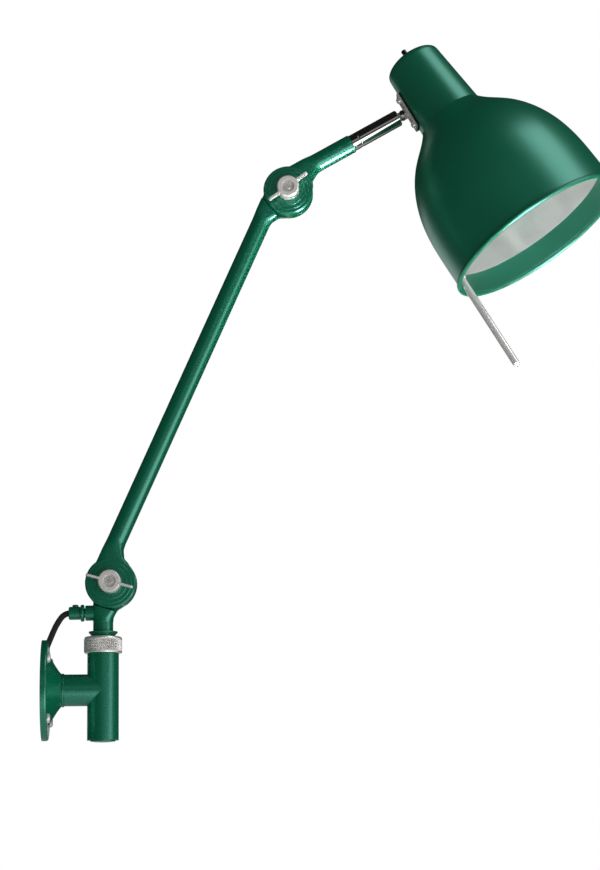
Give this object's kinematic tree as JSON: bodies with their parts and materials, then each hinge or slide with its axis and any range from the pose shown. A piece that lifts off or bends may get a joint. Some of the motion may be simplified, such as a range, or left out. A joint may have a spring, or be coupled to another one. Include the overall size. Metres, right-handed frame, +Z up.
{
  "type": "articulating wall lamp",
  "caption": "Wall lamp with a round screw-on flange, swivel post, two arms on wing-nut lap joints and a bell shade on a tilting stem.",
  "frame": {"origin": "centre of the wall flange's back face, which lies on the wall", "axes": "+X out from the wall, +Z up along the socket and the post; at rest the plane of the two arms is swung 4 degrees about the post from the plane Y = 0"},
  "size_m": [0.4846, 0.1639, 0.5936],
  "materials": {
    "green_paint": "satin",
    "green_shade": "satin",
    "zinc_steel": "satin",
    "knurled_steel": "satin",
    "wing_nut_metal": "satin",
    "dark_polymer": "matte",
    "chrome": "polished",
    "black_steel": "satin",
    "polished_aluminium": "polished",
    "black_rubber": "matte",
    "black_textile": "woven",
    "black_plastic": "gloss"
  },
  "bodies": {
    "wall_bracket": {"wall_flange": "green_paint", "wall_screws": "zinc_steel", "tee_bracket": "green_paint", "socket_plug": "green_paint", "socket_bush": "dark_polymer", "clamp_collet": "zinc_steel"},
    "clamp_nut_ring": {"clamp_nut": "knurled_steel"},
    "post": {"swivel_post": "green_paint", "gland_nipple": "green_paint", "gland_ring": "green_paint", "gland_sleeve": "green_paint", "gland_screw": "green_paint", "lower_bolt": "zinc_steel", "lower_washer": "dark_polymer", "supply_lead": "black_textile"},
    "lower_wing": {"lower_wing_nut": "wing_nut_metal"},
    "long_arm": {"long_arm_lower_knuckle": "green_paint", "long_arm_tube": "green_paint", "long_arm_upper_knuckle": "green_paint", "upper_bolt": "zinc_steel", "upper_washer": "dark_polymer"},
    "upper_wing": {"upper_wing_nut": "wing_nut_metal"},
    "short_arm": {"short_arm_knuckle": "green_paint", "short_arm_tube": "green_paint", "stem_socket": "chrome", "socket_set_screw": "black_steel"},
    "stem": {"head_stem": "chrome", "stem_tongue": "chrome"},
    "shade_head": {"shade": "green_shade", "reflector": "polished_aluminium", "hinge_plate": "chrome", "hinge_gasket": "black_rubber", "hinge_plate_screws": "chrome", "hinge_plate_nuts": "zinc_steel", "tilt_screw": "chrome", "tilt_nut": "zinc_steel", "lampholder_plate": "zinc_steel", "lampholder_nipple": "zinc_steel", "lampholder_shell": "black_plastic", "lampholder_contact": "black_plastic", "switch_body": "black_plastic", "switch_nut": "black_steel", "handle_rod": "chrome", "handle_clip": "zinc_steel"},
    "push_button": {"switch_button": "black_plastic"}
  },
  "joints": [
    {"name": "clamp_nut_turn", "type": "hinge", "parent": "wall_bracket", "child": "clamp_nut_ring", "pos_m": [0.0498, 0, 0.0368], "axis": [0, 0, 1], "range_deg": [-90, 90]},
    {"name": "post_swivel", "type": "hinge", "parent": "wall_bracket", "child": "post", "pos_m": [0.0498, 0, 0.0368], "axis": [0, 0, 1], "range_deg": [-30, 30], "deforming": ["supply_lead"]},
    {"name": "lower_hinge", "type": "hinge", "parent": "post", "child": "long_arm", "pos_m": [0.05638, -0.00046, 0.0878], "axis": [0.0698, 0.9976, 0], "range_deg": [-28, 85]},
    {"name": "lower_wing_turn", "type": "hinge", "parent": "post", "child": "lower_wing", "pos_m": [0.05638, -0.00046, 0.0878], "axis": [0.0698, 0.9976, 0], "range_deg": [-90, 90]},
    {"name": "upper_hinge", "type": "hinge", "parent": "long_arm", "child": "short_arm", "pos_m": [0.20678, -0.01098, 0.42218], "axis": [0.0698, 0.9976, 0], "range_deg": [-85, 60]},
    {"name": "upper_wing_turn", "type": "hinge", "parent": "long_arm", "child": "upper_wing", "pos_m": [0.20678, -0.01098, 0.42218], "axis": [0.0698, 0.9976, 0], "range_deg": [-90, 90]},
    {"name": "stem_roll", "type": "hinge", "parent": "short_arm", "child": "stem", "pos_m": [0.26131, -0.01479, 0.46465], "axis": [0.8722, -0.061, 0.4854], "range_deg": [-80, 80]},
    {"name": "shade_tilt", "type": "hinge", "parent": "stem", "child": "shade_head", "pos_m": [0.30579, -0.0179, 0.48941], "axis": [0.1228, 0.9877, -0.0965], "range_deg": [-45, 45]},
    {"name": "button_push", "type": "slide", "parent": "shade_head", "child": "push_button", "axis": [0.5171, -0.1467, -0.8433], "range_m": [0, 0.002], "stiffness_N_per_m": 800}
  ]
}
